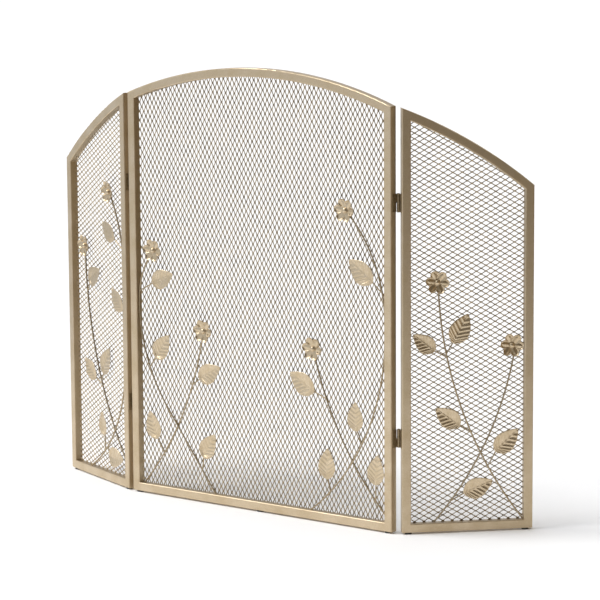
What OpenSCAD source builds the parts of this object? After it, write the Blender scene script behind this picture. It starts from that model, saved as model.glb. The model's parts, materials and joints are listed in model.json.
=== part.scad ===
// Three-panel arched folding fireplace screen.
// x runs along the centre panel, y to the back, z up. The origin is the floor under the middle foot.
// Every panel is drawn unfolded under one arch, and the side panels are then turned about their hinge pins.

/* [Panels] */
// Width of the centre panel
centre_w = 600; // [590:1:640]
// Width of each side panel
side_w = 236; // [230:1:260]
// Height of the crown of the arch above the underside of the rails
crown_h = 810; // [790:1:850]
// Rise of the arch over the width of the centre panel
arch_rise = 55; // [45:1:60]

/* [Tube] */
// Outside size of the square tube
bar = 16; // [14:0.5:18]
// Wall of the tube
wall = 1.2; // [1:0.1:2]
// Radius of the tube's long edges
edge_r = 2; // [1:0.1:2.4]
// Bore of the drain holes under the arch rails
drain_d = 4; // [2:0.5:5]

/* [Fold] */
// Angle of the left panel behind the line of the centre panel
left_fold = 21; // [0:1:175]
// Angle of the right panel behind the line of the centre panel
right_fold = 46; // [0:1:175]

/* [Hinges] */
// Gap between neighbouring stiles with the screen opened flat
hinge_gap = 6; // [5:0.5:8]
// Height of a hinge
hinge_h = 32; // [28:1:40]
// Distance of the pin behind the back of the tubes
pin_back = 2; // [1:0.5:3]
// Height of the middle of the lower hinges above the rails' underside
lower_hinge_z = 168; // [100:1:250]
// Height of the middle of the upper hinges above the rails' underside
upper_hinge_z = 586; // [480:1:600]

/* [Mesh] */
// Thickness of a solid sheet as heavy as the open mesh
mesh_t = 0.5; // [0.4:0.1:1.5]
// Depth of the mesh behind the front face of the tubes
mesh_depth = 12; // [11.5:0.1:13]

/* [Vines] */
// Diameter of the stem wire
stem_d = 3; // [2.5:0.1:3]
// Diameter of the leaf stalks
stalk_d = 2.4; // [1.6:0.1:2.6]
// Depth of the tall stems behind the front face
tall_depth = 6.5; // [6:0.1:7]
// Depth of the short stems behind the front face
short_depth = 9.6; // [9.5:0.1:10]
// Thickness of a leaf
leaf_t = 1.2; // [0.8:0.1:1.5]
// Width of a leaf as a share of its length
leaf_ratio = 0.64; // [0.5:0.02:0.75]
// Diameter of a flower
flower_d = 43; // [36:1:46]
// Radius of the bowl that the petals are pressed to
cup_r = 60; // [50:1:90]
// Diameter of the button in the middle of a flower
button_d = 11.5; // [7:0.5:12]

/* [Feet] */
// Diameter of a foot pad
foot_d = 12.5; // [10:0.5:14]
// Height of a foot pad
foot_h = 3; // [2:0.5:5]
// Distance of the end feet from the ends of a panel
foot_inset = 12; // [10:0.5:16]

/* [Hidden] */
$fn = 64;
ARC_FN = 240;             // segments of the large arch circles
FIT = 0.05;               // air between pieces that touch

// arch and panel limits
arch_r = (centre_w * centre_w / 4 + arch_rise * arch_rise) / (2 * arch_rise);
arch_c = crown_h - arch_r;
inner_r = arch_r - bar;
mid = [-centre_w / 2, centre_w / 2];
side_x = centre_w / 2 + hinge_gap;
wing = [side_x, side_x + side_w];
front_y = -bar / 2;

// hinge
pin_x = centre_w / 2 + hinge_gap / 2;
pin_y = bar / 2 + pin_back;
pin_r = 1.45;
knuckle_r = 3;
plate_t = 1.2;
plate_reach = 15;
knuckle_air = 0.3;
pin_head_r = 2.3;
pin_head_h = 0.8;
screw_r = 1.5;
screw_head_r = 2.7;
screw_len = 7;
screw_reach = 9.5;        // screws forward of the pin
screw_rise = 9;           // screws above and below the hinge's middle
HINGES = [lower_hinge_z, upper_hinge_z];

// feet
plug_r = 2.5;
plug_h = 4;
mid_feet = [-centre_w / 2 + foot_inset, 0, centre_w / 2 - foot_inset];
wing_feet = [side_x + foot_inset, side_x + side_w - foot_inset];

// vines
stem_r = stem_d / 2;
stalk_r = stalk_d / 2;
stalk_lap = 5;            // length of stalk under the leaf
tail = 260;               // straight end of a stem, cut off at the frame
drain_in = 12;            // drain hole inside the stile's inner face
petals = 6;
petal_r = flower_d * 0.2;
LEAF_STEPS = 14;

// A stem: bulge towards +x or -x, x of its upright stretch, height of its top,
// foot and radius of its upper bend, top, radius and sweep of its lower bend, depth, shift of its flower
tall_mid_left = [-1, -282.2, 462, 370, 135, 360, 320, 37, tall_depth, 0];
short_mid_left = [1, -123, 320, 422, 400, 422, 608, 43, short_depth, 2];
tall_mid_right = [1, 282.2, 567, 370, 270, 350, 420, 54, tall_depth, 1];
short_mid_right = [-1, 104, 312, 460, 400, 460, 619, 46, short_depth, 1];
tall_left = [-1, side_x + 17.8, 560, 400, 260, 250, 260, 67, tall_depth, 0];
short_left = [1, side_x + 181, 446, 446, 400, 446, 592, 47, short_depth, -2];
tall_right = [-1, side_x + 65, 446, 466, 400, 466, 731, 39, tall_depth, -2];
short_right = [1, side_x + 212, 330, 421, 400, 421, 612, 43, short_depth, -7];

// A leaf: its stem, height of the stalk's foot on that stem, [x, z] of the leaf's base and of its tip
leaves_mid_left = [
    [tall_mid_left, 383, [-250, 400], [-198, 421]],
    [tall_mid_left, 240, [-244, 258], [-209, 305]],
    [short_mid_left, 216, [-142, 229], [-90, 256]],
    [short_mid_left, 80, [-245, 103], [-262, 156]],
    [tall_mid_left, 58, [-133, 82], [-101, 129]]
];
leaves_mid_right = [
    [tall_mid_right, 425, [257, 442], [206, 480]],
    [short_mid_right, 223, [125, 232], [71, 264]],
    [tall_mid_right, 150, [220, 172], [219, 226]],
    [tall_mid_right, 55, [155, 77], [158, 135]],
    [short_mid_right, 50, [259, 79], [266, 135]]
];
leaves_left = [
    [tall_left, 455, [side_x + 53, 470], [side_x + 98, 501]],
    [short_left, 358, [side_x + 165, 377], [side_x + 118, 407]],
    [tall_left, 325, [side_x + 24, 338], [side_x + 64, 377]],
    [short_left, 183, [side_x + 142, 190], [side_x + 184, 226]],
    [short_left, 190, [side_x + 113, 205], [side_x + 82, 258]],
    [tall_left, 55, [side_x + 106, 84], [side_x + 114, 131]],
    [tall_left, 64, [side_x + 88, 50], [side_x + 28, 49]]
];
leaves_right = [
    [tall_right, 312, [side_x + 59, 323], [side_x + 20, 355]],
    [tall_right, 318, [side_x + 92, 337], [side_x + 119, 389]],
    [tall_right, 176, [side_x + 104, 188], [side_x + 60, 222]],
    [tall_right, 114, [side_x + 168, 140], [side_x + 210, 180]],
    [short_right, 53, [side_x + 112, 66], [side_x + 165, 88]]
];

// ---- places of the three panels ----

module on_centre() {
    translate([0, 0, foot_h]) children();
}

module folded(angle) {
    translate([pin_x, pin_y, foot_h]) rotate([0, 0, angle]) translate([-pin_x, -pin_y, 0]) children();
}

module on_right() {
    folded(right_fold) children();
}

module on_left() {
    mirror([1, 0, 0]) folded(left_fold) children();
}

// ---- outlines in the plane of a panel, x across and y up ----

function arch_z(r, x) = arch_c + sqrt(r * r - x * x);

// a flat shape stood upright, with its middle plane at y
module slab(y, t) {
    translate([0, y, 0]) rotate([90, 0, 0]) linear_extrude(t, center = true) children();
}

module opening(ends, inset) {
    intersection() {
        translate([ends[0] + bar + inset, bar + inset])
            square([ends[1] - ends[0] - 2 * (bar + inset), crown_h]);
        translate([0, arch_c]) circle(r = inner_r - inset, $fn = ARC_FN);
    }
}

// ---- frame tubes ----

module tube_section() {
    flat = bar - 2 * edge_r;
    difference() {
        union() {
            square([bar, flat], center = true);
            square([flat, bar], center = true);
            for (i = [-1, 1], j = [-1, 1]) translate([i * flat / 2, j * flat / 2]) circle(r = edge_r);
        }
        square(bar - 2 * wall, center = true);
    }
}

// upright tube with its outer face at x_out and its inner face at x_in, mitred at both ends
module stile(x_out, x_in) {
    intersection() {
        translate([(x_out + x_in) / 2, 0, 0]) linear_extrude(crown_h) tube_section();
        slab(0, 2 * bar)
            polygon([[x_out, 0], [x_in, bar], [x_in, arch_z(inner_r, x_in)], [x_out, arch_z(arch_r, x_out)]]);
    }
}

// holes for the hinge screws in the wall of the stile whose side face is at x, opening towards dir
module screw_holes(x, dir) {
    for (z = HINGES, i = [-1, 1])
        translate([x - dir * wall / 2, pin_y - screw_reach, z + i * screw_rise])
            rotate([0, 90, 0]) cylinder(h = 2 * wall, r = screw_r, center = true);
}

module bottom_rail(ends, feet) {
    difference() {
        intersection() {
            translate([ends[0], 0, bar / 2]) rotate([0, 90, 0]) linear_extrude(ends[1] - ends[0]) tube_section();
            slab(0, 2 * bar)
                polygon([[ends[0], 0], [ends[1], 0], [ends[1] - bar, bar], [ends[0] + bar, bar]]);
        }
        for (x = feet) translate([x, 0, -1]) cylinder(h = wall + 2, r = plug_r);
    }
}

module arch_rail(ends) {
    low = ends[0] + bar;
    high = ends[1] - bar;
    from = 90 - asin(ends[1] / arch_r) - 1;
    sweep = asin(ends[1] / arch_r) - asin(ends[0] / arch_r) + 2;
    difference() {
        intersection() {
            translate([0, 0, arch_c]) rotate([90, 0, 0]) rotate([0, 0, from])
                rotate_extrude(angle = sweep, $fn = ARC_FN) translate([arch_r - bar / 2, 0]) tube_section();
            slab(0, 2 * bar) polygon([
                [ends[0], arch_z(arch_r, ends[0])], [low, arch_z(inner_r, low)],
                [high, arch_z(inner_r, high)], [ends[1], arch_z(arch_r, ends[1])],
                [ends[1], crown_h + bar], [ends[0], crown_h + bar]
            ]);
        }
        for (x = [low + drain_in, high - drain_in])
            translate([x, 0, arch_z(inner_r, x) - 1]) cylinder(h = wall + 2.5, d = drain_d);
    }
}

module mesh_sheet(ends) {
    slab(front_y + mesh_depth, mesh_t) opening(ends, FIT);
}

// ---- vines ----

function bend(r, dz) = r - sqrt(r * r - dz * dz);
function stem_end_z(s) = s[5] - s[6] * sin(s[7]);
function stem_y(s) = front_y + s[8];

// x of a stem at height z
function stem_x(s, z) =
    z > s[3] && z > s[5] ? s[1] - s[0] * bend(s[4], z - s[3]) :
    z > s[5] ? s[1] :
    z > stem_end_z(s) ? s[1] - s[0] * bend(s[6], s[5] - z) :
    s[1] - s[0] * (s[6] * (1 - cos(s[7])) + tan(s[7]) * (stem_end_z(s) - z));

// bent wire from angle a0 to angle a1 about a centre a radius r from the upright stretch
module bent_wire(s, z, r, a0, a1) {
    translate([s[1] - s[0] * r, 0, z]) mirror([s[0] < 0 ? 1 : 0, 0, 0]) rotate([90, 0, 0]) rotate([0, 0, a0])
        rotate_extrude(angle = a1 - a0, $fn = ARC_FN) translate([r, 0]) circle(r = stem_r, $fn = 32);
}

// straight wire between two points of the plane
module rod(a, b, r) {
    d = b - a;
    translate([a[0], 0, a[1]]) rotate([0, atan2(d[0], d[1]), 0]) cylinder(h = norm(d), r = r, $fn = 32);
}

// weld bead round a joint of the wire
module bead(x, z) {
    translate([x, 0, z]) sphere(r = stem_r + 0.1, $fn = 24);
}

// lower bend of a stem from angle a0 up to angle a1, in three lengths of wire joined by beads
module lower_bend(s, a0, a1) {
    step = (a1 - a0) / 3;
    for (i = [0 : 2]) bent_wire(s, s[5], s[6], a0 + i * step, a0 + (i + 1) * step);
    for (i = [1 : 2]) bead(stem_x(s, s[5] + s[6] * sin(a0 + i * step)), s[5] + s[6] * sin(a0 + i * step));
}

// x limits of the panel, the stem and all leaves of the panel
module stem(ends, s, leaves) {
    start = s[2] < s[5] ? asin((s[5] - s[2]) / s[6]) : 0;
    end = [stem_x(s, stem_end_z(s)), stem_end_z(s)];
    low = bar + FIT;
    translate([0, stem_y(s), 0]) {
        intersection() {
            union() {
                lower_bend(s, -s[7], -start);
                if (end[1] > bar) rod(end, end - tail * [s[0] * sin(s[7]), cos(s[7])], stem_r);
                if (end[1] > bar) bead(end[0], end[1]);
            }
            translate([ends[0] + low, -bar, low]) cube([ends[1] - ends[0] - 2 * low, 2 * bar, crown_h]);
        }
        if (s[2] > s[3]) {
            rod([s[1], s[5]], [s[1], s[3]], stem_r);
            bead(s[1], s[5]);
            bead(s[1], s[3]);
            bent_wire(s, s[3], s[4], 0, asin((s[2] - s[3]) / s[4]));
        }
        for (l = leaves) if (l[0] == s) stalk(l);
    }
}

module stalk(l) {
    dir = (l[3] - l[2]) / norm(l[3] - l[2]);
    rod([stem_x(l[0], l[1]), l[1]], l[2] + stalk_lap * dir, stalk_r);
}

// half width of a leaf of unit length at t along it
function leaf_half(t) = leaf_ratio / 2 * pow(sin(180 * pow(t, 0.8)), 0.8) * (1.08 - 0.2 * t);

module leaf(l) {
    d = l[3] - l[2];
    steps = [for (i = [0 : LEAF_STEPS]) i / LEAF_STEPS];
    right_side = [for (t = steps) norm(d) * [t, -leaf_half(t)]];
    left_side = [for (i = [LEAF_STEPS - 1 : -1 : 1]) norm(d) * [steps[i], leaf_half(steps[i])]];
    translate([l[2][0], stem_y(l[0]) - stalk_r - FIT - leaf_t / 2, l[2][1]])
        rotate([0, -atan2(d[1], d[0]), 0]) slab(0, leaf_t) polygon(concat(right_side, left_side));
}

module at_flower(s) {
    translate([stem_x(s, s[2]) + s[9], stem_y(s) - stem_r - FIT, s[2]]) rotate([90, 0, 0]) children();
}

// pressed cup with six round petals, opening towards the front
module flower(s) {
    at_flower(s) intersection() {
        translate([0, 0, cup_r]) difference() {
            sphere(r = cup_r);
            sphere(r = cup_r - 1);
        }
        linear_extrude(flower_d / 2) {
            circle(r = flower_d * 0.26);
            for (i = [0 : petals - 1])
                rotate(i * 360 / petals - 8) translate([flower_d / 2 - petal_r, 0]) circle(r = petal_r);
        }
    }
}

// domed button in the middle of a flower
module button(s) {
    half = button_d / 2;
    at_flower(s) translate([0, 0, 1 + bend(cup_r - 1, half) + FIT]) {
        cylinder(h = 1, r = half);
        intersection() {
            translate([0, 0, 1 - half * 0.4]) sphere(r = half * 1.077);
            translate([0, 0, 1]) cylinder(h = button_d, r = half);
        }
    }
}

// ---- hinges, drawn at the pin with the centre panel towards -x ----

module at_pin(z) {
    translate([pin_x, pin_y, z]) children();
}

// knuckle_up: which half of the hinge this leaf's knuckle is in, 1 for the upper and -1 for the lower
module hinge_leaf(z, knuckle_up, bore_r) {
    half = hinge_h / 2;
    clear = knuckle_r + 2 * knuckle_air;
    at_pin(z) difference() {
        union() {
            translate([-hinge_gap / 2, -plate_reach, -half]) cube([plate_t, plate_reach - clear, hinge_h]);
            translate([-hinge_gap / 2, -clear - 1, knuckle_up > 0 ? knuckle_air / 2 : -half])
                cube([plate_t, clear + 1, half - knuckle_air / 2]);
            translate([0, 0, knuckle_up > 0 ? knuckle_air / 2 : -half])
                cylinder(h = half - knuckle_air / 2, r = knuckle_r);
        }
        cylinder(h = hinge_h + 2, r = bore_r, center = true);
        for (i = [-1, 1]) translate([-hinge_gap / 2, -screw_reach, i * screw_rise]) rotate([0, 90, 0]) {
            cylinder(h = 3 * plate_t, r = screw_r + FIT, center = true);
            cylinder(h = plate_t + FIT, r1 = screw_r + FIT, r2 = screw_head_r + FIT);
        }
    }
}

module centre_hinge_leaf(z, knuckle_up) {
    hinge_leaf(z, knuckle_up, pin_r);
}

module side_hinge_leaf(z, knuckle_up) {
    translate([2 * pin_x, 0, 0]) mirror([1, 0, 0]) hinge_leaf(z, knuckle_up, pin_r + FIT);
}

module hinge_pin(z) {
    at_pin(z) {
        cylinder(h = hinge_h, r = pin_r, center = true);
        for (i = [-1, 1]) translate([0, 0, i * (hinge_h + pin_head_h) / 2])
            cylinder(h = pin_head_h, r = pin_head_r, center = true);
    }
}

// countersunk screws of the leaf on the stile towards -x
module hinge_screws() {
    for (z = HINGES, i = [-1, 1])
        at_pin(z) translate([-hinge_gap / 2, -screw_reach, i * screw_rise]) rotate([0, 90, 0]) {
            cylinder(h = plate_t, r1 = screw_r, r2 = screw_head_r);
            translate([0, 0, -screw_len]) cylinder(h = screw_len + 0.1, r = screw_r);
        }
}

module side_hinge_screws() {
    translate([2 * pin_x, 0, 0]) mirror([1, 0, 0]) hinge_screws();
}

// ---- feet, drawn on the floor ----

module feet(places) {
    for (x = places) translate([x, 0, -foot_h]) {
        cylinder(h = foot_h, d = foot_d);
        cylinder(h = foot_h + plug_h, r = plug_r);
    }
}

// ---- finishes ----

module gold() {
    color([0.70, 0.64, 0.52]) children();
}

module gold_mesh() {
    color([0.62, 0.55, 0.43]) children();
}

module bronze() {
    color([0.30, 0.25, 0.18]) children();
}

module black() {
    color([0.08, 0.08, 0.08]) children();
}

// ---- the pieces ----

module centre_stile(side) {
    difference() {
        mirror([side < 0 ? 1 : 0, 0, 0]) stile(mid[1], mid[1] - bar);
        mirror([side < 0 ? 1 : 0, 0, 0]) screw_holes(mid[1], 1);
    }
}

module wing_inner_stile() {
    difference() {
        stile(wing[0], wing[0] + bar);
        screw_holes(wing[0], -1);
    }
}

module flowers(stems) {
    for (s = stems) flower(s);
}

module buttons(stems) {
    for (s = stems) button(s);
}

module leaf_set(leaves) {
    for (l = leaves) leaf(l);
}

gold() on_centre() centre_stile(-1);  // centre_left_stile
gold() on_centre() centre_stile(1);  // centre_right_stile
gold() on_centre() bottom_rail(mid, mid_feet);  // centre_bottom_rail
gold() on_centre() arch_rail(mid);  // centre_arch_rail
gold_mesh() on_centre() mesh_sheet(mid);  // centre_mesh
black() on_centre() feet(mid_feet);  // centre_feet

gold() on_centre() stem(mid, tall_mid_left, leaves_mid_left);  // centre_left_tall_stem
gold() on_centre() stem(mid, short_mid_left, leaves_mid_left);  // centre_left_short_stem
gold() on_centre() leaf_set(leaves_mid_left);  // centre_left_leaves
gold() on_centre() flowers([tall_mid_left, short_mid_left]);  // centre_left_flowers
gold() on_centre() buttons([tall_mid_left, short_mid_left]);  // centre_left_flower_buttons
gold() on_centre() stem(mid, tall_mid_right, leaves_mid_right);  // centre_right_tall_stem
gold() on_centre() stem(mid, short_mid_right, leaves_mid_right);  // centre_right_short_stem
gold() on_centre() leaf_set(leaves_mid_right);  // centre_right_leaves
gold() on_centre() flowers([tall_mid_right, short_mid_right]);  // centre_right_flowers
gold() on_centre() buttons([tall_mid_right, short_mid_right]);  // centre_right_flower_buttons

gold() on_left() wing_inner_stile();  // left_inner_stile
gold() on_left() stile(wing[1], wing[1] - bar);  // left_outer_stile
gold() on_left() bottom_rail(wing, wing_feet);  // left_bottom_rail
gold() on_left() arch_rail(wing);  // left_arch_rail
gold_mesh() on_left() mesh_sheet(wing);  // left_mesh
black() on_left() feet(wing_feet);  // left_feet
gold() on_left() stem(wing, tall_left, leaves_left);  // left_tall_stem
gold() on_left() stem(wing, short_left, leaves_left);  // left_short_stem
gold() on_left() leaf_set(leaves_left);  // left_leaves
gold() on_left() flowers([tall_left, short_left]);  // left_flowers
gold() on_left() buttons([tall_left, short_left]);  // left_flower_buttons

gold() on_right() wing_inner_stile();  // right_inner_stile
gold() on_right() stile(wing[1], wing[1] - bar);  // right_outer_stile
gold() on_right() bottom_rail(wing, wing_feet);  // right_bottom_rail
gold() on_right() arch_rail(wing);  // right_arch_rail
gold_mesh() on_right() mesh_sheet(wing);  // right_mesh
black() on_right() feet(wing_feet);  // right_feet
gold() on_right() stem(wing, tall_right, leaves_right);  // right_tall_stem
gold() on_right() stem(wing, short_right, leaves_right);  // right_short_stem
gold() on_right() leaf_set(leaves_right);  // right_leaves
gold() on_right() flowers([tall_right, short_right]);  // right_flowers
gold() on_right() buttons([tall_right, short_right]);  // right_flower_buttons

bronze() mirror([1, 0, 0]) on_centre() centre_hinge_leaf(lower_hinge_z, -1);  // left_lower_hinge_centre_leaf
bronze() on_left() side_hinge_leaf(lower_hinge_z, 1);  // left_lower_hinge_side_leaf
bronze() mirror([1, 0, 0]) on_centre() hinge_pin(lower_hinge_z);  // left_lower_hinge_pin
bronze() mirror([1, 0, 0]) on_centre() centre_hinge_leaf(upper_hinge_z, 1);  // left_upper_hinge_centre_leaf
bronze() on_left() side_hinge_leaf(upper_hinge_z, -1);  // left_upper_hinge_side_leaf
bronze() mirror([1, 0, 0]) on_centre() hinge_pin(upper_hinge_z);  // left_upper_hinge_pin

bronze() on_centre() centre_hinge_leaf(lower_hinge_z, -1);  // right_lower_hinge_centre_leaf
bronze() on_right() side_hinge_leaf(lower_hinge_z, 1);  // right_lower_hinge_side_leaf
bronze() on_centre() hinge_pin(lower_hinge_z);  // right_lower_hinge_pin
bronze() on_centre() centre_hinge_leaf(upper_hinge_z, 1);  // right_upper_hinge_centre_leaf
bronze() on_right() side_hinge_leaf(upper_hinge_z, -1);  // right_upper_hinge_side_leaf
bronze() on_centre() hinge_pin(upper_hinge_z);  // right_upper_hinge_pin

bronze() on_centre() {  // centre_hinge_screws
    hinge_screws();
    mirror([1, 0, 0]) hinge_screws();
}
bronze() on_left() side_hinge_screws();  // left_hinge_screws
bronze() on_right() side_hinge_screws();  // right_hinge_screws
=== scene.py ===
"""Folding fireplace screen with vine sprays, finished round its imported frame."""

import json
import math

import bmesh
import bpy
from mathutils import Matrix, Vector


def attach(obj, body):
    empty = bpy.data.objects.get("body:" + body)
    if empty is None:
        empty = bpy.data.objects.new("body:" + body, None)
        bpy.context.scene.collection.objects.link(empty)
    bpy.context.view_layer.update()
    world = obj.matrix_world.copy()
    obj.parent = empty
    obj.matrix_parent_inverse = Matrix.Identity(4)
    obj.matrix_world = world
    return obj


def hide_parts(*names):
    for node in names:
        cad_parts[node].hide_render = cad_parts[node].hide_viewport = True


bl_info = {
    "name": "Fireplace Screen",
    "version": (1, 0, 0),
    "blender": (4, 5, 0),
    "location": "View3D > Sidebar > Screen",
    "description": "Expanded mesh, leaves, flowers and finishes of a folding fireplace screen",
    "category": "Object",
}

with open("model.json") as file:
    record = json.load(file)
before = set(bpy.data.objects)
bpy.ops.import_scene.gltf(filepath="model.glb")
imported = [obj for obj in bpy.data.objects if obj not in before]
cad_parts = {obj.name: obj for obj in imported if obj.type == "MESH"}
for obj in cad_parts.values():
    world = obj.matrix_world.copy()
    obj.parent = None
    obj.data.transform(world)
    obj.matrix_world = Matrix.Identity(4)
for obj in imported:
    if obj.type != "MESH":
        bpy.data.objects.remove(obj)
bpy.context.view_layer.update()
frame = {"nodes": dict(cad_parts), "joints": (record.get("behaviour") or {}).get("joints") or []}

SIDES = ("centre", "left", "right")
SPRAYS = {"centre_left": "centre", "centre_right": "centre", "left": "left", "right": "right"}
FRONT = Vector((0, -1, 0))
UPRIGHT = Matrix.Rotation(math.pi / 2, 4, "X")  # stands up what was made lying face up
TINY = 1e-5  # two points closer than this are one

# rows along a blade, and shares of its half-width at which it has points
LEAF_ROWS, LEAF_SHARES = 36, (0, 0.07, 0.3, 0.62, 0.9, 1)
PETAL_ROWS, PETAL_SHARES = 10, (0, 0.2, 0.5, 0.7, 0.9, 1)
ROWS_PER_VEIN = 4

# growth and drop of each ring of a button's collar, for a dome 1 in radius
COLLAR_RINGS = ((1.12, -0.02), (1.05, -0.12), (0.92, -0.14))

# colours of the sky, from its bright side to its dark side
SKY_SHADES = (
    (0.0, (0.75, 0.79, 0.86, 1)),
    (0.35, (0.70, 0.73, 0.79, 1)),
    (0.6, (0.20, 0.185, 0.16, 1)),
    (0.88, (0.12, 0.09, 0.055, 1)),
    (1.0, (0.36, 0.24, 0.09, 1)),
)


# ---- sizes and colours ----


def length(name, description, default):
    return bpy.props.FloatProperty(
        name=name, description=description, default=default, unit="LENGTH", precision=5
    )


def share(name, description, default):
    return bpy.props.FloatProperty(
        name=name, description=description, default=default, subtype="FACTOR", min=0, max=1
    )


def turn(name, description, degrees):
    return bpy.props.FloatProperty(
        name=name, description=description, default=math.radians(degrees), subtype="ANGLE"
    )


def tint(name, description, default):
    return bpy.props.FloatVectorProperty(
        name=name, description=description, default=default, subtype="COLOR", size=3, min=0, max=1
    )


class ScreenMeshSizes(bpy.types.PropertyGroup):
    long_way: length("Long way", "Length of a diamond from bond to bond", 0.017)
    short_way: length("Short way", "Width of a diamond from bond to bond", 0.010)
    strand: length("Strand", "Width of the cut strand", 0.0017)
    bond: length("Bond", "Length of the bond where two strands stay joined", 0.0026)
    thickness: length("Thickness", "Thickness of the metal", 0.0010)
    tilt: turn("Tilt", "Turn of the strands out of the plane of the sheet", 38)
    arch_cuts: bpy.props.IntProperty(
        name="Arch cuts", description="Straight cuts that trim the mesh to the arch", default=28
    )


class ScreenVineSizes(bpy.types.PropertyGroup):
    leaf_fold: share(
        "Fold", "Rise of a leaf's edges over its midrib, as a share of their distance", 0.14
    )
    vein_rise: length("Vein rise", "Height of the veins of a leaf 57 mm long", 0.0009)
    leaf_wall: length("Leaf wall", "Thickness of a leaf", 0.0008)
    petal_wall: length("Petal wall", "Thickness of a petal", 0.0007)
    petal_lift: length("Petal lift", "Rise of a petal's rim over its middle", 0.0018)
    petal_crease: length("Petal crease", "Height of the crease along a petal's middle", 0.0008)
    petal_reach: length("Petal reach", "Distance of a petal's tip from the flower's middle", 0.0215)
    petal_dish: length("Petal dish", "Radius of the dish that a flower's petals lie in", 0.09)
    petals: bpy.props.IntProperty(name="Petals", description="Petals of a flower", default=6)


class ScreenFinishes(bpy.types.PropertyGroup):
    champagne: tint("Champagne", "Satin champagne gold of the tubes", (0.585, 0.48, 0.34))
    champagne_deep: tint("Deep champagne", "Darker patches of the tubes", (0.485, 0.38, 0.24))
    # painted shade: the mesh gold is kept far darker than the tubes' champagne, though mesh and
    # tubes share one finish, to stand in for the dark surroundings that the strands reflect
    mesh_gold: tint("Mesh gold", "Champagne gold of the expanded mesh", (0.22, 0.178, 0.113))
    bronze: tint("Bronze", "Antique bronze of the hinges", (0.47, 0.37, 0.23))
    # painted shade: the stem gold is the champagne darkened by about a quarter, standing in for the
    # dark surroundings that the thin stems reflect
    shaded_stem_gold: tint("Stem gold", "Champagne gold of the stems and stalks", (0.42, 0.335, 0.22))
    rubber: tint("Rubber", "Black rubber of the feet", (0.03, 0.03, 0.03))
    floor: tint("Floor", "Pale floor", (0.93, 0.93, 0.93))


class ScreenStage(bpy.types.PropertyGroup):
    camera_place: bpy.props.FloatVectorProperty(
        name="Camera",
        description="Place of the camera",
        default=(3.0617, -3.9106, 1.1531),
        unit="LENGTH",
    )
    camera_heading: turn("Heading", "Turn of the camera from straight back to the left", 37.193)
    camera_dip: turn("Dip", "Tilt of the camera below level", 8.715)
    camera_roll: turn("Roll", "Roll of the camera", -0.366)
    camera_lens: bpy.props.FloatProperty(
        name="Lens",
        description="Focal length of the camera",
        default=166.1,
        subtype="DISTANCE_CAMERA",
    )
    floor_size: length("Floor size", "Side of the floor", 120.0)
    sun_power: bpy.props.FloatProperty(
        name="Suns", description="Strength of the two soft suns together", default=2.95
    )
    key_share: share("Key share", "Share of the suns' strength in the key light", 0.74)
    sky: bpy.props.FloatProperty(
        name="Sky", description="Strength of the light all round", default=1.0
    )
    sky_turn: turn("Sky turn", "Turn of the bright side of the sky from left to front", 15)
    bounce: bpy.props.FloatProperty(
        name="Bounce", description="Glow of the near floor, as the metal reflects it", default=0.2
    )


# ---- working on a piece as by hand ----


def deselect():
    if bpy.context.object and bpy.context.object.mode != "OBJECT":
        bpy.ops.object.mode_set(mode="OBJECT")
    bpy.ops.object.select_all(action="DESELECT")


def take(*pieces):
    """Selects only these pieces, the first one active."""
    deselect()
    for piece in pieces:
        piece.select_set(True)
    bpy.context.view_layer.objects.active = pieces[0]


def settle(piece):
    """Puts the piece's place, turn and size into its mesh."""
    take(piece)
    bpy.ops.object.transform_apply(location=True, rotation=True, scale=True)


def edit(piece):
    take(piece)
    bpy.ops.object.mode_set(mode="EDIT")


def pick(piece, test, kind="verts"):
    """Selects the points, edges or faces that pass the test."""
    bpy.ops.mesh.select_all(action="DESELECT")
    mesh = bmesh.from_edit_mesh(piece.data)
    for part in getattr(mesh, kind):
        if test(part):
            part.select_set(True)
    mesh.select_flush_mode()
    bmesh.update_edit_mesh(piece.data, loop_triangles=False)


def pick_all():
    bpy.ops.mesh.select_all(action="SELECT")


def apply_all(piece):
    take(piece)
    for modifier in list(piece.modifiers):
        bpy.ops.object.modifier_apply(modifier=modifier.name)


def modify(piece, kind, **values):
    modifier = piece.modifiers.new(kind.title(), kind)
    for key, value in values.items():
        setattr(modifier, key, value)
    apply_all(piece)


def copy_of(piece, name):
    made = piece.copy()
    made.data = piece.data.copy()
    made.name = name
    bpy.context.collection.objects.link(made)
    return made


def join(name, pieces):
    take(*pieces)
    bpy.ops.object.join()
    made = bpy.context.object
    made.name = made.data.name = name
    return made


def drop(*pieces):
    for piece in pieces:
        bpy.data.objects.remove(piece, do_unlink=True)


def laid_open(side):
    """The turn that takes a panel laid in line with the centre one to where it stands."""
    if side == "centre":
        return Matrix.Identity(4)
    joint = next(j for j in frame["joints"] if j["name"] == side + "_fold")
    place = Matrix.Translation(joint["pos_m"])
    fold = math.radians(-joint["range_deg"][0])
    return place @ Matrix.Rotation(fold, 4, Vector(joint["axis"])) @ place.inverted()


def solids(node, side):
    """Corner points of each loose solid of a node, with its panel laid open."""
    flat = laid_open(side).inverted()
    mesh = bmesh.new()
    mesh.from_mesh(frame["nodes"][node].data)
    bmesh.ops.remove_doubles(mesh, verts=mesh.verts, dist=1e-6)
    found, left = [], set(mesh.verts)
    while left:
        group, reached = set(), [next(iter(left))]
        while reached:
            vert = reached.pop()
            if vert not in group:
                group.add(vert)
                reached.extend(e.other_vert(vert) for e in vert.link_edges)
        left -= group
        found.append([flat @ v.co for v in group])
    mesh.free()

    def corner(points):
        low = points_box(points)[0]
        return round(low.x, 4), round(low.z, 4)

    return sorted(found, key=corner)


def points_box(points):
    low = Vector([min(p[k] for p in points) for k in range(3)])
    high = Vector([max(p[k] for p in points) for k in range(3)])
    return low, high


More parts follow.
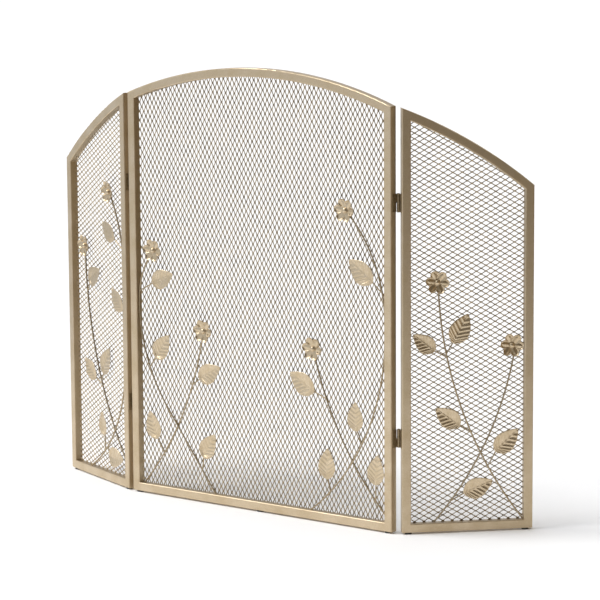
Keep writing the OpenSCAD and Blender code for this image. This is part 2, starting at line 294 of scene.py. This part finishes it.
def finish_piece(piece, side, node, material, angle=40):
    """Stands a finished piece up with its panel, in place of its plain solid."""
    piece.data.transform(laid_open(side))
    take(piece)
    bpy.ops.object.shade_smooth_by_angle(angle=math.radians(angle))
    piece.data.materials.clear()
    piece.data.materials.append(material)
    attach(piece, side + "_panel")
    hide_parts(node)


def clothe(node, material):
    """Gives a node that keeps its shape its finish."""
    mesh = frame["nodes"][node].data
    mesh.materials.clear()
    mesh.materials.append(material)


# ---- finishes ----


def grain_group():
    """Fine grain and soft patches that the sprayed metal finishes share."""
    made = bpy.data.node_groups.get("sprayed_grain")
    if made:
        return made
    made = bpy.data.node_groups.new("sprayed_grain", "ShaderNodeTree")
    grain_share = 0.8  # strength of the grain beside the patches
    light_until, deep_from = 0.6, 1.2  # sums of patch and grain where the colours are pure
    extra_rough = 0.12  # roughness that the deep colour adds
    face = made.interface
    for name, kind, value in (
        ("Light", "NodeSocketColor", (0.5, 0.5, 0.5, 1)),
        ("Deep", "NodeSocketColor", (0.4, 0.4, 0.4, 1)),
        ("Patch Scale", "NodeSocketFloat", 30),
        ("Grain Scale", "NodeSocketFloat", 1500),
        ("Roughness", "NodeSocketFloat", 0.4),
    ):
        face.new_socket(name=name, in_out="INPUT", socket_type=kind).default_value = value
    face.new_socket(name="Colour", in_out="OUTPUT", socket_type="NodeSocketColor")
    face.new_socket(name="Roughness", in_out="OUTPUT", socket_type="NodeSocketFloat")
    face.new_socket(name="Height", in_out="OUTPUT", socket_type="NodeSocketFloat")
    nodes, links = made.nodes, made.links
    inside, outside = nodes.new("NodeGroupInput"), nodes.new("NodeGroupOutput")
    place = nodes.new("ShaderNodeTexCoord")
    patch, grain = nodes.new("ShaderNodeTexNoise"), nodes.new("ShaderNodeTexNoise")
    patch.inputs["Detail"].default_value = 4
    grain.inputs["Detail"].default_value = 2
    for texture, scale in ((patch, "Patch Scale"), (grain, "Grain Scale")):
        links.new(place.outputs["Object"], texture.inputs["Vector"])
        links.new(inside.outputs[scale], texture.inputs["Scale"])
    both = nodes.new("ShaderNodeMath")
    both.operation = "MULTIPLY_ADD"
    both.inputs[1].default_value = grain_share
    links.new(grain.outputs["Fac"], both.inputs[0])
    links.new(patch.outputs["Fac"], both.inputs[2])
    spread = nodes.new("ShaderNodeMapRange")
    spread.inputs["From Min"].default_value = light_until
    spread.inputs["From Max"].default_value = deep_from
    links.new(both.outputs[0], spread.inputs["Value"])
    mix = nodes.new("ShaderNodeMix")
    mix.data_type = "RGBA"
    links.new(spread.outputs["Result"], mix.inputs["Factor"])
    links.new(inside.outputs["Light"], mix.inputs["A"])
    links.new(inside.outputs["Deep"], mix.inputs["B"])
    links.new(mix.outputs["Result"], outside.inputs["Colour"])
    rough = nodes.new("ShaderNodeMath")
    rough.operation = "MULTIPLY_ADD"
    rough.inputs[1].default_value = extra_rough
    links.new(spread.outputs["Result"], rough.inputs[0])
    links.new(inside.outputs["Roughness"], rough.inputs[2])
    links.new(rough.outputs[0], outside.inputs["Roughness"])
    links.new(grain.outputs["Fac"], outside.inputs["Height"])
    return made


def sprayed_metal(name, light, deep, metallic, roughness, patch=30, grain=800, bump=0.08):
    """Material of a sprayed or plated metal finish."""
    made = bpy.data.materials.get(name)
    if made:
        return made
    made = bpy.data.materials.new(name)
    made.use_nodes = True
    nodes, links = made.node_tree.nodes, made.node_tree.links
    shader = nodes["Principled BSDF"]
    shader.inputs["Metallic"].default_value = metallic
    group = nodes.new("ShaderNodeGroup")
    group.node_tree = grain_group()
    group.inputs["Light"].default_value = (*light, 1)
    group.inputs["Deep"].default_value = (*deep, 1)
    group.inputs["Patch Scale"].default_value = patch
    group.inputs["Grain Scale"].default_value = grain
    group.inputs["Roughness"].default_value = roughness
    links.new(group.outputs["Colour"], shader.inputs["Base Color"])
    links.new(group.outputs["Roughness"], shader.inputs["Roughness"])
    relief = nodes.new("ShaderNodeBump")
    relief.inputs["Strength"].default_value = bump
    relief.inputs["Distance"].default_value = 0.0002
    links.new(group.outputs["Height"], relief.inputs["Height"])
    links.new(relief.outputs["Normal"], shader.inputs["Normal"])
    return made


def champagne_tube():
    tints = bpy.context.scene.screen_finishes
    return sprayed_metal(
        "champagne_tube", tints.champagne, tints.champagne_deep, metallic=0.85, roughness=0.36
    )


# the mesh finish is a darkened copy of the tube finish: its light colour holds painted shade
def champagne_mesh():
    tints = bpy.context.scene.screen_finishes
    return sprayed_metal(
        "champagne_mesh",
        tints.mesh_gold,
        tints.champagne_deep,
        metallic=0.85,
        roughness=0.38,
        patch=60,
        bump=0.03,
    )


def champagne_vine():
    tints = bpy.context.scene.screen_finishes
    return sprayed_metal(
        "champagne_vine",
        tints.champagne,
        tints.champagne_deep,
        metallic=0.9,
        roughness=0.25,
        patch=120,
        bump=0.05,
    )


# the stem finish is a darkened copy of the tube finish: its colour holds painted shade
def champagne_stem():
    tints = bpy.context.scene.screen_finishes
    dark = [0.8 * c for c in tints.shaded_stem_gold]
    return sprayed_metal(
        "champagne_stem",
        tints.shaded_stem_gold,
        dark,
        metallic=0.9,
        roughness=0.26,
        patch=150,
        bump=0.05,
    )


def antique_bronze():
    tints = bpy.context.scene.screen_finishes
    dark = [0.5 * c for c in tints.bronze]
    return sprayed_metal(
        "antique_bronze", tints.bronze, dark, metallic=0.9, roughness=0.36, patch=260, bump=0.1
    )


def black_rubber():
    tints = bpy.context.scene.screen_finishes
    pale = [1.8 * c for c in tints.rubber]
    return sprayed_metal(
        "black_rubber",
        tints.rubber,
        pale,
        metallic=0.0,
        roughness=0.7,
        patch=200,
        grain=2500,
        bump=0.25,
    )


# ---- the pieces ----


class FinishTubes(bpy.types.Operator):
    """Sprays the stiles, rails and arches in satin champagne"""

    bl_idname = "screen.finish_tubes"
    bl_label = "Tube Frame"

    def execute(self, context):
        for node in frame["nodes"]:
            if node.endswith(("_stile", "_rail")):
                clothe(node, champagne_tube())
        return {"FINISHED"}


class FinishStems(bpy.types.Operator):
    """Sprays the bent wires and leaf stalks"""

    bl_idname = "screen.finish_stems"
    bl_label = "Stems"

    def execute(self, context):
        for node in frame["nodes"]:
            if node.endswith("_stem"):
                clothe(node, champagne_stem())
        return {"FINISHED"}


class FinishHinges(bpy.types.Operator):
    """Gives the hinge leaves, pins and screws their antique bronze"""

    bl_idname = "screen.finish_hinges"
    bl_label = "Hinges"

    def execute(self, context):
        for node in frame["nodes"]:
            if "hinge" in node:
                clothe(node, antique_bronze())
        return {"FINISHED"}


class FinishFeet(bpy.types.Operator):
    """Gives the foot pads their black rubber"""

    bl_idname = "screen.finish_feet"
    bl_label = "Feet"

    def execute(self, context):
        for side in SIDES:
            clothe(side + "_feet", black_rubber())
        return {"FINISHED"}


def diamond_net(sizes, width, height, upright):
    """A flat net of tilted strands round the origin, width along x and height along y."""
    half_bond, strand = sizes.bond / 2, sizes.strand
    lay, rise = strand * math.cos(sizes.tilt), strand * math.sin(sizes.tilt)
    across, up = sizes.long_way, sizes.short_way
    span_x, span_y = (height, width) if upright else (width, height)
    deselect()
    bpy.ops.mesh.primitive_plane_add(size=2, rotation=(sizes.tilt, 0, 0))
    net = bpy.context.object
    net.scale = (half_bond, strand, 1)
    settle(net)
    edit(net)
    pick_all()
    bpy.ops.mesh.bisect(plane_co=(0, 0, 0), plane_no=(0, 1, 0))
    for side in (1, -1):

        def at_end(edge):
            return all(v.co.x * side > half_bond - TINY and v.co.y > -TINY for v in edge.verts)

        pick(net, at_end, "edges")
        step = (side * (across / 2 - 2 * half_bond), up / 2 - lay, -rise)
        bpy.ops.mesh.extrude_region_move(TRANSFORM_OT_translate={"value": step})
    pick_all()
    bpy.ops.mesh.duplicate_move(TRANSFORM_OT_translate={"value": (across / 2, up / 2, 0)})
    bpy.ops.object.mode_set(mode="OBJECT")
    columns, rows = math.ceil(span_x / across) + 3, math.ceil(span_y / up) + 3
    for count, step in ((columns, (across, 0, 0)), (rows, (0, up, 0))):
        modify(
            net,
            "ARRAY",
            count=count,
            use_relative_offset=False,
            use_constant_offset=True,
            constant_offset_displace=step,
        )
    edit(net)
    pick_all()
    bpy.ops.mesh.remove_doubles(threshold=TINY)
    bpy.ops.object.mode_set(mode="OBJECT")
    net.location = (-columns * across / 2, -rows * up / 2, 0)
    settle(net)
    if upright:
        net.rotation_euler = (0, 0, math.pi / 2)
        settle(net)
    return net


def trim(place, normal):
    """Cuts away what the edited mesh has beyond a plane."""
    pick_all()
    bpy.ops.mesh.bisect(plane_co=place, plane_no=normal, clear_outer=True)


class MakeMesh(bpy.types.Operator):
    """Cuts and stretches the expanded metal of the three panels and trims it to their openings"""

    bl_idname = "screen.make_mesh"
    bl_label = "Expanded Mesh"

    def execute(self, context):
        sizes = context.scene.screen_mesh
        arch = [p for points in solids("centre_mesh", "centre") for p in points]
        low, high = points_box(arch)
        shoulder = max(p.z for p in arch if p.x > high.x - TINY)
        half, sagitta = (high.x - low.x) / 2, high.z - shoulder
        radius = (half * half + sagitta * sagitta) / (2 * sagitta)
        crown_centre = Vector((0, 0, high.z - radius))
        for side in SIDES:
            sheet = [p for points in solids(side + "_mesh", side) for p in points]
            low, high = points_box(sheet)
            middle = (low + high) / 2
            net = diamond_net(sizes, high.x - low.x, high.z - low.z, side == "centre")
            net.name = net.data.name = side + "_expanded_mesh"
            net.data.transform(Matrix.Translation(middle) @ UPRIGHT)
            edit(net)
            trim(low, (-1, 0, 0))
            trim(low, (0, 0, -1))
            trim(high, (1, 0, 0))
            first, last = (math.asin(x / radius) for x in (low.x, high.x))
            for cut in range(sizes.arch_cuts):
                angle = first + (last - first) * (cut + 0.5) / sizes.arch_cuts
                outward = Vector((math.sin(angle), 0, math.cos(angle)))
                trim(crown_centre + radius * outward, outward)
            bpy.ops.object.mode_set(mode="OBJECT")
            modify(net, "SOLIDIFY", thickness=sizes.thickness, offset=0)
            finish_piece(net, side, side + "_mesh", champagne_mesh(), angle=25)
        return {"FINISHED"}


def shaped_blade(name, rows, shares, place):
    """A grid worked into a leaf or petal, from 0 to 1 along x: each pair of points is moved."""
    columns = len(shares) - 1
    narrow, weld = 1e-4, 3e-4  # least half-width, and the distance within which points merge
    deselect()
    bpy.ops.mesh.primitive_grid_add(
        x_subdivisions=rows, y_subdivisions=2 * columns, size=1, location=(0.5, 0, 0)
    )
    blade = bpy.context.object
    blade.name = blade.data.name = name
    settle(blade)
    edit(blade)
    where = {
        v.index: (round(v.co.x * rows), round(abs(v.co.y) * 2 * columns))
        for v in bmesh.from_edit_mesh(blade.data).verts
    }
    for row in range(rows + 1):
        for column in range(columns + 1):
            x, y, z = place(row, row / rows, shares[column])
            pick(blade, lambda v: where[v.index] == (row, column))
            spread = max(y, narrow) * 2 * columns / column if column else 1
            bpy.ops.transform.resize(value=(1, spread, 1), center_override=(row / rows, 0, 0))
            bpy.ops.transform.translate(value=(x - row / rows, 0, z))
    pick_all()
    bpy.ops.mesh.remove_doubles(threshold=weld)
    bpy.ops.object.mode_set(mode="OBJECT")
    return blade


def finish_blades(name, made, wall, side, node):
    """Joins the blades of a spray, gives them their thickness and smooths them."""
    blades = join(name, made)
    modify(blades, "SOLIDIFY", thickness=wall, offset=0)
    modify(blades, "SUBSURF", levels=1, render_levels=1)
    finish_piece(blades, side, node, champagne_vine(), angle=60)


def blade_ends(points):
    """Base and tip of a plain leaf: its two farthest points, the blunter end first."""
    middle = sum(points, Vector()) / len(points)
    flat = [Vector((p.x, middle.y, p.z)) for p in points]
    one = max(flat, key=lambda p: (p - middle).length)
    other = max(flat, key=lambda p: (p - one).length)
    reach = (other - one).length
    along = (other - one) / reach
    near_share = 0.3

    def bluntness(end):
        near = [p - end for p in flat if (p - end).length < near_share * reach]
        return max((d - along * d.dot(along)).length for d in near)

    return (one, other) if bluntness(one) > bluntness(other) else (other, one)


class MakeLeaves(bpy.types.Operator):
    """Presses one veined leaf and sets a copy of it at each leaf's place"""

    bl_idname = "screen.make_leaves"
    bl_label = "Leaves"

    def execute(self, context):
        sizes = context.scene.screen_vines
        usual_leaf = 0.057
        vein = sizes.vein_rise / usual_leaf
        widest, early, full, taper = 0.33, 0.8, 0.8, 0.18  # of the outline
        slope, first_vein, curl = 0.75, 0.35, 0.02
        clear = 0.0004  # of a leaf's midrib behind the middle of the plain leaf

        def place(row, u, f):
            half = widest * math.sin(math.pi * u**early) ** full * (1.06 - taper * u)
            rib = u - slope * min(1, u / first_vein) * half
            rise = sizes.leaf_fold * half * f
            if f == 0 or f < 1 and row % ROWS_PER_VEIN == ROWS_PER_VEIN // 2:
                rise += vein
            return rib + (u - rib) * f, half * f, rise + curl * u * u

        blade = shaped_blade("pressed_leaf", LEAF_ROWS, LEAF_SHARES, place)
        for spray, side in SPRAYS.items():
            node, made = spray + "_leaves", []
            for points in solids(node, side):
                low, high = points_box(points)
                base, tip = blade_ends(points)
                along = tip - base
                size = along.length
                along.normalize()
                leaf = copy_of(blade, "leaf")
                turn_to = Matrix((along, FRONT.cross(along), FRONT)).transposed().to_4x4()
                root = tip - along * size
                root.y = (low.y + high.y) / 2 + clear
                leaf.data.transform(Matrix.Translation(root) @ turn_to @ Matrix.Scale(size, 4))
                made.append(leaf)
            finish_blades(spray + "_veined_leaves", made, sizes.leaf_wall, side, node)
        drop(blade)
        return {"FINISHED"}


class MakeFlowers(bpy.types.Operator):
    """Presses one curled petal and sets six round each flower's middle"""

    bl_idname = "screen.make_flowers"
    bl_label = "Flowers"

    def execute(self, context):
        sizes = context.scene.screen_vines
        reach, bowl = sizes.petal_reach, sizes.petal_dish
        root, neck, lobe, shoulder = 0.1, 0.14, 0.37, 0.6  # of the outline
        roll_start, roll_width, flat_root = 0.5, 0.45, 0.4
        sunk, overlap = 0.0005, 0.0004  # of a petal in the plain flower, and under its neighbours
        start = -0.13 / sizes.petals  # of a turn, from the right

        def place(row, u, f):
            v = math.sin(math.pi / 2 * u)
            past = max(0, (v - shoulder) / (1 - shoulder))
            if v > shoulder:
                half = lobe * math.sqrt(max(0, 1 - past**2))
            else:
                half = neck + (lobe - neck) * math.sin(math.pi / 2 * v / shoulder)
            x, y = root + (1 - root) * v, half * f
            r = reach * math.hypot(x, y)
            dish = bowl - math.sqrt(bowl * bowl - r * r)
            # the rim dips before it rolls up, and neither reaches the root
            curled = min(1, max(0, (math.hypot(f, past) - roll_start) / roll_width))
            roll = curled * min(1, v / flat_root)
            lift = sizes.petal_lift * roll * (3 * roll - 2)
            crease = sizes.petal_crease * max(0, 1 - 3 * f) * math.sin(math.pi * u)
            return x, y, (dish + lift + crease) / reach

        petal = shaped_blade("curled_petal", PETAL_ROWS, PETAL_SHARES, place)
        for spray, side in SPRAYS.items():
            node, made = spray + "_flowers", []
            for points in solids(node, side):
                low, high = points_box(points)
                middle = (low + high) / 2
                for number in range(sizes.petals):
                    blade = copy_of(petal, "petal")
                    around = math.tau * (start + number / sizes.petals)
                    depth = high.y - sunk - overlap * (number % 2)
                    spot = Matrix.Translation((middle.x, depth, middle.z)) @ UPRIGHT
                    turned = Matrix.Rotation(around, 4, "Z") @ Matrix.Scale(reach, 4)
                    blade.data.transform(spot @ turned)
                    made.append(blade)
            finish_blades(spray + "_curled_petals", made, sizes.petal_wall, side, node)
        drop(petal)
        return {"FINISHED"}


class MakeButtons(bpy.types.Operator):
    """Turns one domed button with a rolled collar and sets a copy in each flower"""

    bl_idname = "screen.make_buttons"
    bl_label = "Flower Buttons"

    def execute(self, context):
        sunk, share_of_plain = 0.001, 0.94  # how deep and how wide it sits in the plain button
        deselect()
        bpy.ops.mesh.primitive_uv_sphere_add(segments=32, ring_count=16, radius=1)
        dome = bpy.context.object
        edit(dome)
        pick_all()
        bpy.ops.mesh.bisect(plane_co=(0, 0, 0), plane_no=(0, 0, 1), clear_inner=True)
        pick_all()
        bpy.ops.transform.resize(value=(0.9, 0.9, 0.66), center_override=(0, 0, 0))
        pick(dome, lambda e: all(v.co.z < 1e-4 for v in e.verts), "edges")
        for grow, drop_by in COLLAR_RINGS:
            bpy.ops.mesh.extrude_region_move(TRANSFORM_OT_translate={"value": (0, 0, drop_by)})
            bpy.ops.transform.resize(value=(grow, grow, 1), center_override=(0, 0, 0))
        bpy.ops.mesh.edge_face_add()
        bpy.ops.object.mode_set(mode="OBJECT")
        for spray, side in SPRAYS.items():
            node, made = spray + "_flower_buttons", []
            for points in solids(node, side):
                low, high = points_box(points)
                middle = (low + high) / 2
                button = copy_of(dome, "button")
                spot = Matrix.Translation((middle.x, high.y - sunk, middle.z)) @ UPRIGHT
                radius = (high.x - low.x) / 2 * share_of_plain
                button.data.transform(spot @ Matrix.Scale(radius, 4))
                made.append(button)
            buttons = join(spray + "_domed_buttons", made)
            finish_piece(buttons, side, node, champagne_vine(), angle=50)
        drop(dome)
        return {"FINISHED"}


# ---- the stage ----


def matt(name, colour, roughness, glow=0):
    """Plain material of a stage surface."""
    made = bpy.data.materials.new(name)
    made.use_nodes = True
    shader = made.node_tree.nodes["Principled BSDF"]
    shader.inputs["Base Color"].default_value = (*colour, 1)
    shader.inputs["Roughness"].default_value = roughness
    shader.inputs["Emission Color"].default_value = (1, 1, 1, 1)
    shader.inputs["Emission Strength"].default_value = glow
    return made


def stage_plane(name, size, place, material):
    deselect()
    bpy.ops.mesh.primitive_plane_add(size=1, location=place)
    made = bpy.context.object
    made.name = name
    made.scale = (*size, 1)
    settle(made)
    made.data.materials.append(material)
    return made


def lay_floor(stage, tints):
    """The floor that is seen, and a card close by that only the metal reflects."""
    size = (stage.floor_size, stage.floor_size)
    floor = stage_plane("floor", size, (0, 0, 0), matt("pale_floor", tints.floor, 0.9))
    floor.visible_glossy = False
    bright = matt("bounce_white", tints.floor, 0.5, glow=stage.bounce)
    card = stage_plane("bounce_card", (3, 2.3), (0, -0.6, 0.0003), bright)
    card.visible_camera = card.visible_diffuse = card.visible_shadow = False


def hang_sky(scene, stage):
    """A sky that runs from bright at the left to dark at the right."""
    world = bpy.data.worlds.new("studio")
    scene.world = world
    world.use_nodes = True
    nodes, links = world.node_tree.nodes, world.node_tree.links
    back = nodes["Background"]
    where, split = nodes.new("ShaderNodeTexCoord"), nodes.new("ShaderNodeSeparateXYZ")
    ramp = nodes.new("ShaderNodeValToRGB")
    reach = nodes.new("ShaderNodeMapRange")
    reach.inputs["From Min"].default_value, reach.inputs["From Max"].default_value = -1, 1
    swing = nodes.new("ShaderNodeMapping")
    swing.inputs["Rotation"].default_value = (0, 0, -stage.sky_turn)
    links.new(where.outputs["Generated"], swing.inputs["Vector"])
    links.new(swing.outputs["Vector"], split.inputs[0])
    links.new(split.outputs["X"], reach.inputs["Value"])
    links.new(reach.outputs["Result"], ramp.inputs["Fac"])
    links.new(ramp.outputs["Color"], back.inputs["Color"])
    for spot, _ in SKY_SHADES[1:-1]:
        ramp.color_ramp.elements.new(spot)
    for element, (spot, shade) in zip(ramp.color_ramp.elements, SKY_SHADES):
        element.position, element.color = spot, shade
    back.inputs["Strength"].default_value = stage.sky


def soft_sun(name, place, spread, power):
    """Even light over the whole floor from one side, with soft shadows."""
    lamp = bpy.data.lights.new(name, "SUN")
    lamp.energy, lamp.angle = power, math.radians(spread)
    made = bpy.data.objects.new(name, lamp)
    bpy.context.collection.objects.link(made)
    made.location = place
    made.rotation_euler = Vector(place).to_track_quat("Z", "Y").to_euler()


def set_camera(scene, stage):
    lens = bpy.data.cameras.new("camera")
    lens.lens, lens.sensor_width = stage.camera_lens, 36
    lens.clip_end = 400  # past the far edge of the floor
    camera = bpy.data.objects.new("camera", lens)
    bpy.context.collection.objects.link(camera)
    aim = (
        Matrix.Rotation(stage.camera_heading, 4, "Z")
        @ Matrix.Rotation(math.pi / 2 - stage.camera_dip, 4, "X")
        @ Matrix.Rotation(stage.camera_roll, 4, "Z")
    )
    camera.location = stage.camera_place
    camera.rotation_euler = aim.to_euler()
    scene.camera = camera


class SetStage(bpy.types.Operator):
    """Lays the pale floor and sets the soft lights and the camera"""

    bl_idname = "screen.set_stage"
    bl_label = "Stage"

    def execute(self, context):
        stage = context.scene.screen_stage
        lay_floor(stage, context.scene.screen_finishes)
        hang_sky(context.scene, stage)
        key = stage.key_share * stage.sun_power
        soft_sun("key", place=(-2.4, -2.0, 3.4), spread=30, power=key)
        soft_sun("overhead", place=(0.3, 0.5, 4.0), spread=80, power=stage.sun_power - key)
        set_camera(context.scene, stage)
        context.scene.view_settings.view_transform = "Standard"
        return {"FINISHED"}


# ---- the add-on ----

STEPS = (
    SetStage,
    FinishTubes,
    FinishStems,
    FinishHinges,
    FinishFeet,
    MakeMesh,
    MakeLeaves,
    MakeFlowers,
    MakeButtons,
)
SETTINGS = {
    "screen_mesh": ScreenMeshSizes,
    "screen_vines": ScreenVineSizes,
    "screen_finishes": ScreenFinishes,
    "screen_stage": ScreenStage,
}


class ScreenPanel(bpy.types.Panel):
    """Lists the settings and the steps of the fireplace screen"""

    bl_idname = "VIEW3D_PT_fireplace_screen"
    bl_label = "Fireplace Screen"
    bl_space_type = "VIEW_3D"
    bl_region_type = "UI"
    bl_category = "Screen"

    def draw(self, context):
        for name, group in SETTINGS.items():
            box = self.layout.box()
            for key in group.__annotations__:
                box.prop(getattr(context.scene, name), key)
        for step in STEPS:
            self.layout.operator(step.bl_idname)


def register():
    for made in (*SETTINGS.values(), *STEPS, ScreenPanel):
        bpy.utils.register_class(made)
    for name, group in SETTINGS.items():
        setattr(bpy.types.Scene, name, bpy.props.PointerProperty(type=group))


def unregister():
    for name in SETTINGS:
        delattr(bpy.types.Scene, name)
    for made in reversed((*SETTINGS.values(), *STEPS, ScreenPanel)):
        bpy.utils.unregister_class(made)


def main():
    register()
    for step in STEPS:
        area, name = step.bl_idname.split(".")
        getattr(getattr(bpy.ops, area), name)()


if __name__ == "__main__":
    main()
